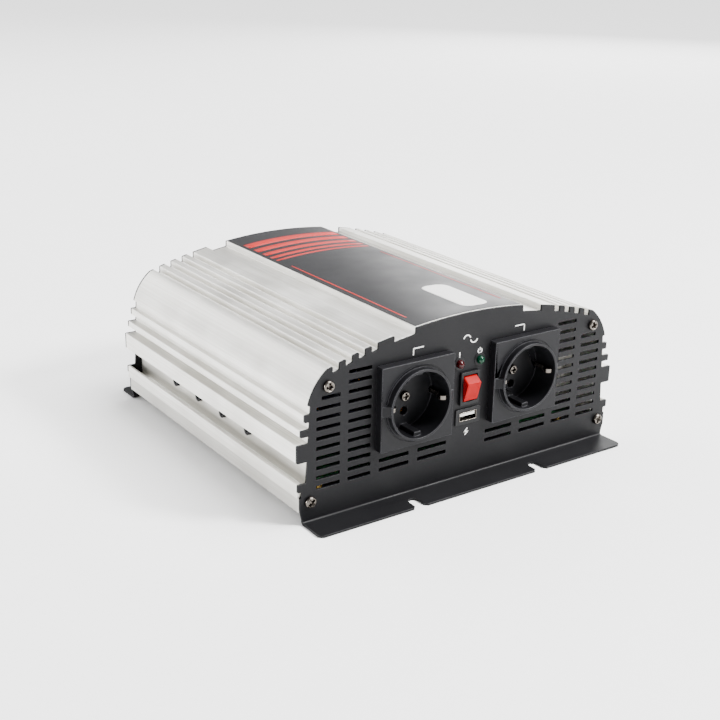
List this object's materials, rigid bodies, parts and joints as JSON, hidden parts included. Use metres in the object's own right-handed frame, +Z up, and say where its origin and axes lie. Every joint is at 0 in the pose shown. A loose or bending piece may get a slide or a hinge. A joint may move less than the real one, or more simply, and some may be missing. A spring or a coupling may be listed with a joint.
{
  "type": "power inverter",
  "caption": "Mobile power inverter: finned aluminium case between folded end plates with slotted feet, earthed outlets, rocker switch, charging port, rear fan and screw terminals.",
  "frame": {"origin": "centre of the footprint, on the underside of the mounting flanges", "axes": "-Y towards the front plate with the outlets, +X to the right as seen from the front, +Z up"},
  "size_m": [0.239, 0.2616, 0.1062],
  "materials": {
    "aluminium_shell": "satin extrusion",
    "painted_plate": "charcoal powder coat",
    "outlet_plastic": "satin moulding",
    "black_plastic": "matt moulding",
    "red_plastic": "glossy moulding",
    "red_lamp": "tinted lens",
    "green_lamp": "tinted lens",
    "nickel_steel": "nickel plated",
    "dark_steel": "blackened",
    "brass": "bare",
    "copper": "bare copper bar",
    "circuit_board": "solder mask",
    "ferrite": "ground ferrite",
    "winding": "taped winding on its bobbin",
    "choke": "enamelled winding on a ring core",
    "capacitor": "shrink sleeve",
    "fuse": "tinted moulding",
    "heat_pad": "silicone pad",
    "label_film": "printed film",
    "pale_plastic": "matt moulding"
  },
  "bodies": {
    "casing": {"upper_shell": "aluminium_shell", "base_tray": "aluminium_shell", "front_plate": "painted_plate", "rear_plate": "painted_plate", "plate_screws": "nickel_steel", "clamp_screws": "dark_steel", "top_label": "label_film", "left_socket_cover": "outlet_plastic", "left_socket_base": "black_plastic", "left_earth_strap": "nickel_steel", "left_pin_contacts": "brass", "left_socket_screw": "nickel_steel", "right_socket_cover": "outlet_plastic", "right_socket_base": "black_plastic", "right_earth_strap": "nickel_steel", "right_pin_contacts": "brass", "right_socket_screw": "nickel_steel", "rocker_bezel": "black_plastic", "rocker_terminals": "brass", "fault_lamp": "red_lamp", "power_lamp": "green_lamp", "lamp_holders": "black_plastic", "lamp_board": "circuit_board", "port_bezel": "black_plastic", "port_shell": "nickel_steel", "port_tongue": "pale_plastic", "port_board": "circuit_board", "main_board": "circuit_board", "board_standoffs": "brass", "board_screws": "nickel_steel", "left_transformer_core": "ferrite", "left_transformer_winding": "winding", "right_transformer_core": "ferrite", "right_transformer_winding": "winding", "input_capacitors": "capacitor", "bus_capacitor": "capacitor", "output_choke": "choke", "control_board": "circuit_board", "fuse_holders": "black_plastic", "blade_fuses": "fuse", "power_transistors": "black_plastic", "transistor_clamps": "aluminium_shell", "heat_pads": "heat_pad", "fan_frame": "black_plastic", "fan_guard": "nickel_steel", "fan_screws": "nickel_steel", "positive_post": "brass", "positive_bush": "red_plastic", "positive_busbar": "copper", "negative_post": "brass", "negative_bush": "black_plastic", "negative_busbar": "copper", "earth_screw": "brass"},
    "rocker": {"rocker_cap": "red_plastic"},
    "fan": {"fan_rotor": "black_plastic"},
    "positive_clamp": {"positive_washer": "brass"},
    "positive_nut": {"positive_knob": "red_plastic"},
    "negative_clamp": {"negative_washer": "brass"},
    "negative_nut": {"negative_knob": "black_plastic"}
  },
  "joints": [
    {"name": "rocker_tilt", "type": "hinge", "parent": "casing", "child": "rocker", "pos_m": [0, -0.1105, 0.0592], "axis": [-1, 0, 0], "range_deg": [0, 32]},
    {"name": "fan_spin", "type": "hinge", "parent": "casing", "child": "fan", "pos_m": [0, 0.0975, 0.058], "axis": [0, 1, 0], "continuous": true},
    {"name": "positive_washer_slide", "type": "slide", "parent": "casing", "child": "positive_clamp", "axis": [0, 1, 0], "range_m": [0, 0.0052]},
    {"name": "positive_knob_turn", "type": "hinge", "parent": "positive_clamp", "child": "positive_nut", "pos_m": [-0.076, 0.122, 0.058], "axis": [0, 1, 0], "range_deg": [0, 1440]},
    {"name": "negative_washer_slide", "type": "slide", "parent": "casing", "child": "negative_clamp", "axis": [0, 1, 0], "range_m": [0, 0.0052]},
    {"name": "negative_knob_turn", "type": "hinge", "parent": "negative_clamp", "child": "negative_nut", "pos_m": [0.076, 0.122, 0.058], "axis": [0, 1, 0], "range_deg": [0, 1440]}
  ],
  "couplings": [
    {"joint": "positive_washer_slide", "follows": "positive_knob_turn", "m_per_rad": 0.00019894},
    {"joint": "negative_washer_slide", "follows": "negative_knob_turn", "m_per_rad": 0.00019894}
  ]
}
